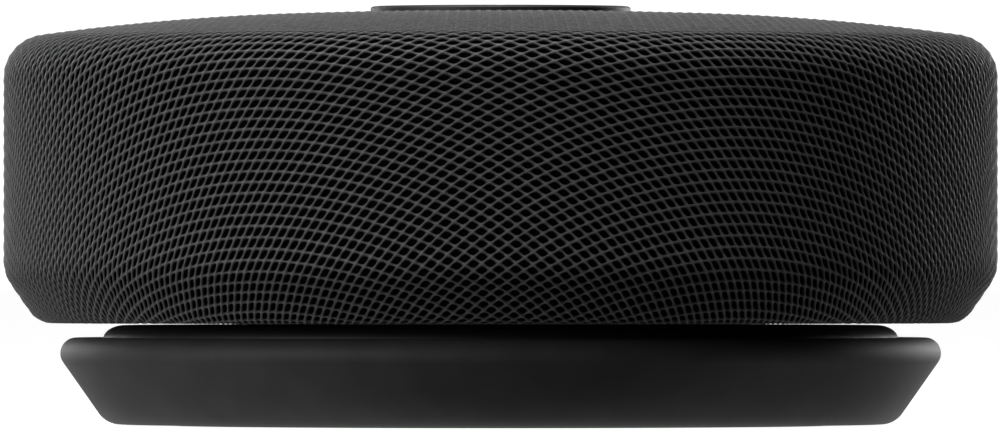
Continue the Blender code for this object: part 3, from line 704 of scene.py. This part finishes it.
def dress_nodes():
    """Gives each CAD node that stays its procedural material."""
    looks = {
        SHELL: ("grille_shell", "body_floor", "enclosure_tub", "speaker_baffle", "control_housing"),
        DECK: ("neck_collar",),
        SEAL: (
            "enclosure_seal",
            "driver_gasket",
            "driver_surround",
            "key_mat",
            "microphone_boot_left",
            "microphone_boot_right",
        ),
        STEEL: (
            "driver_yoke",
            "driver_top_plate",
            "driver_basket",
            "neck_lock_ring",
            "shield_can",
            "microphone_capsule_left",
            "microphone_capsule_right",
        ),
        FERRITE: ("driver_magnet",),
        COPPER: ("voice_coil",),
        PAPER: ("driver_cone", "dust_cap"),
        SPIDER: ("driver_spider",),
        BOARD: ("control_board", "main_board"),
        CHIP: ("processor_chip", "amplifier_chip", "cable_connector", "usb_c_tongue"),
        LIGHT: ("status_led",),
        FLEX: ("flat_flex_cable",),
        SCREW: tuple(f"{place}_screw_{i}" for place in ("base", "body", "baffle") for i in range(1, 5)),
    }
    for surface, names in looks.items():
        for name in names:
            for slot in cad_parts[name].material_slots:
                slot.material = surface


# ---------------------------------------------------------------- camera, light and floor


def make_camera():
    """A long lens, nearly level with the middle of the object."""
    distance = CAMERA_DISTANCE
    tilt = math.radians(CAMERA_TILT)
    data = bpy.data.cameras.new("camera")
    data.sensor_fit = "HORIZONTAL"
    data.sensor_width = 36.0
    data.lens = data.sensor_width * distance / SEEN_WIDTH
    camera = bpy.data.objects.new("camera", data)
    bpy.context.scene.collection.objects.link(camera)
    across, up = VIEW_MIDDLE[0] * MM, VIEW_MIDDLE[1] * MM
    camera.location = (across, -distance * math.cos(tilt), up + distance * math.sin(tilt))
    camera.rotation_euler = (math.pi / 2 - tilt, 0, 0)
    bpy.context.scene.camera = camera


def make_floor():
    """A pale floor that looks white to the camera, glows softly under and behind the object,
    and is clear from below.
    """
    mesh = bpy.data.meshes.new("floor")
    made = bmesh.new()
    bmesh.ops.create_grid(made, x_segments=1, y_segments=1, size=12.0)
    made.to_mesh(mesh)
    made.free()
    surface = bpy.data.materials.new("floor")
    surface.use_nodes = True
    tree = surface.node_tree
    shader = tree.nodes["Principled BSDF"]
    shader.inputs["Base Color"].default_value = (*FLOOR_COLOUR, 1)
    shader.inputs["Roughness"].default_value = 0.9
    shader.inputs["Specular IOR Level"].default_value = 0.0
    shader.inputs["Emission Color"].default_value = (1, 1, 1, 1)
    path = add_node(tree, "ShaderNodeLightPath")
    place = add_node(tree, "ShaderNodeTexCoord")
    reach = add_node(tree, "ShaderNodeVectorMath", operation="LENGTH")
    split = add_node(tree, "ShaderNodeSeparateXYZ")
    under, behind = (add_node(tree, "ShaderNodeMapRange") for _ in range(2))
    both = add_node(tree, "ShaderNodeMath", operation="ADD")
    glow = add_node(tree, "ShaderNodeMix")
    for node, edge, level in ((under, UNDER_EDGE, UNDER_GLOW), (behind, BEHIND_EDGE, BEHIND_GLOW)):
        node.inputs["From Min"].default_value, node.inputs["From Max"].default_value = (x * MM for x in edge)
        node.inputs["To Max"].default_value = level
    glow.inputs["B"].default_value = FLOOR_GLOW
    tree.links.new(place.outputs["Object"], reach.inputs[0])
    tree.links.new(place.outputs["Object"], split.inputs[0])
    tree.links.new(reach.outputs["Value"], under.inputs["Value"])
    tree.links.new(split.outputs["Y"], behind.inputs["Value"])
    tree.links.new(under.outputs["Result"], both.inputs[0])
    tree.links.new(behind.outputs["Result"], both.inputs[1])
    tree.links.new(path.outputs["Is Camera Ray"], glow.inputs["Factor"])
    tree.links.new(both.outputs[0], glow.inputs["A"])
    tree.links.new(glow.outputs["Result"], shader.inputs["Emission Strength"])
    side = add_node(tree, "ShaderNodeNewGeometry")
    clear = add_node(tree, "ShaderNodeBsdfTransparent")
    mix = add_node(tree, "ShaderNodeMixShader")
    tree.links.new(side.outputs["Backfacing"], mix.inputs["Fac"])
    tree.links.new(shader.outputs[0], mix.inputs[1])
    tree.links.new(clear.outputs[0], mix.inputs[2])
    tree.links.new(mix.outputs[0], tree.nodes["Material Output"].inputs["Surface"])
    floor = add_piece("floor", mesh, surface)
    floor.location.z = -0.02 * MM


def make_world():
    """A white backdrop for the camera, and a dim even room for the object."""
    world = bpy.data.worlds.new("studio")
    world.use_nodes = True
    bpy.context.scene.world = world
    tree = world.node_tree
    tree.nodes.clear()
    out = add_node(tree, "ShaderNodeOutputWorld")
    mix = add_node(tree, "ShaderNodeMixShader")
    path = add_node(tree, "ShaderNodeLightPath")
    room = add_node(tree, "ShaderNodeBackground")
    backdrop = add_node(tree, "ShaderNodeBackground")
    room.inputs["Color"].default_value = (ROOM_LIGHT, ROOM_LIGHT, ROOM_LIGHT, 1)
    backdrop.inputs["Color"].default_value = (1, 1, 1, 1)
    backdrop.inputs["Strength"].default_value = 1.1
    tree.links.new(path.outputs["Is Camera Ray"], mix.inputs["Fac"])
    tree.links.new(room.outputs[0], mix.inputs[1])
    tree.links.new(backdrop.outputs[0], mix.inputs[2])
    tree.links.new(mix.outputs[0], out.inputs["Surface"])


def softbox(name, place, width, height, power):
    """A soft lamp, its place and size in metres, that points at the object."""
    data = bpy.data.lights.new(name, "AREA")
    data.shape = "RECTANGLE"
    data.size, data.size_y = width, height
    data.energy = power
    lamp = bpy.data.objects.new(name, data)
    bpy.context.scene.collection.objects.link(lamp)
    lamp.location = place
    way = Vector((0, 0, 25 * MM)) - Vector(place)
    lamp.rotation_euler = way.to_track_quat("-Z", "Y").to_euler()
    lamp.visible_camera = False


KNIT = knit_material()
TRAY = material("soft_touch_plastic", (0.0125, 0.0125, 0.013), 0.72, 0.12, 0.004, Specular_IOR_Level=0.3)
DECK = material("deck_satin_plastic", (0.004, 0.004, 0.004), 0.6, 0.2, 0.003, Specular_IOR_Level=0.25)
DISC = material("disc_satin_plastic", (0.010, 0.010, 0.0107), 0.58, 0.1, 0.003, Specular_IOR_Level=0.2)
KEY = material("key_satin_plastic", (0.022, 0.022, 0.023), 0.5, 0.08, 0.003)
MARK = material("key_mark_print", (0.62, 0.63, 0.64), 0.55, 0.08, 0.001, vary=0.04)
FOOT = material("foot_matte_rubber", (0.018, 0.018, 0.018), 0.85, 0.25, 0.02)
SEAL = material("soft_black_rubber", (0.02, 0.02, 0.02), 0.8, 0.3, 0.01)
SCRIM = material("black_acoustic_cloth", (0.002, 0.002, 0.002), 0.95, 0.12, 0.02, Specular_IOR_Level=0.0)
SHELL = material("black_shell_plastic", (0.004, 0.004, 0.004), 0.85, 0.2, 0.01)
STEEL = material("zinc_plated_steel", (0.55, 0.56, 0.58), 0.35, 0.15, 0.002, metallic=1.0, stretch=(1, 6, 1))
SCREW = material("screw_steel", (0.50, 0.50, 0.52), 0.38, 0.1, 0.003, metallic=1.0)
FERRITE = material("sintered_ferrite", (0.05, 0.05, 0.055), 0.65, 0.15, 0.01)
COPPER = material(
    "enamelled_copper", (0.70, 0.33, 0.16), 0.3, 0.12, 0.02, metallic=1.0, stretch=(0.2, 0.2, 6)
)
PAPER = material("pressed_paper", (0.045, 0.045, 0.047), 0.85, 0.35, 0.03)
SPIDER = material("resin_dipped_cloth", (0.50, 0.33, 0.10), 0.8, 0.25, 0.04)
BOARD = material("solder_mask", (0.010, 0.085, 0.040), 0.4, 0.5, 0.006)
CHIP = material("moulded_epoxy", (0.022, 0.022, 0.024), 0.6, 0.1, 0.004)
LIGHT = material("milky_light_plastic", (0.62, 0.65, 0.67), 0.3, 0.15, 0.002, vary=0.05)
FLEX = material("polyimide_film", (0.62, 0.30, 0.06), 0.35, 0.3, 0.002)

bpy.context.scene.view_settings.view_transform = "Standard"
make_camera()
make_world()
make_floor()
softbox("softbox_top", (-0.25, -0.18, 1.1), 0.9, 0.9, 34)
softbox("softbox_key", (-1.20, -0.72, 0.19), 0.9, 0.45, 18.5)
softbox("softbox_left_back", (-0.75, 1.05, 0.22), 0.6, 0.6, 9)
softbox("softbox_right_back", (0.80, 1.05, 0.24), 0.6, 0.6, 16)

make_knit()
make_bezel()
make_keys()
make_tray()
make_deck()
make_foot()
make_socket()
make_light()
dress_nodes()
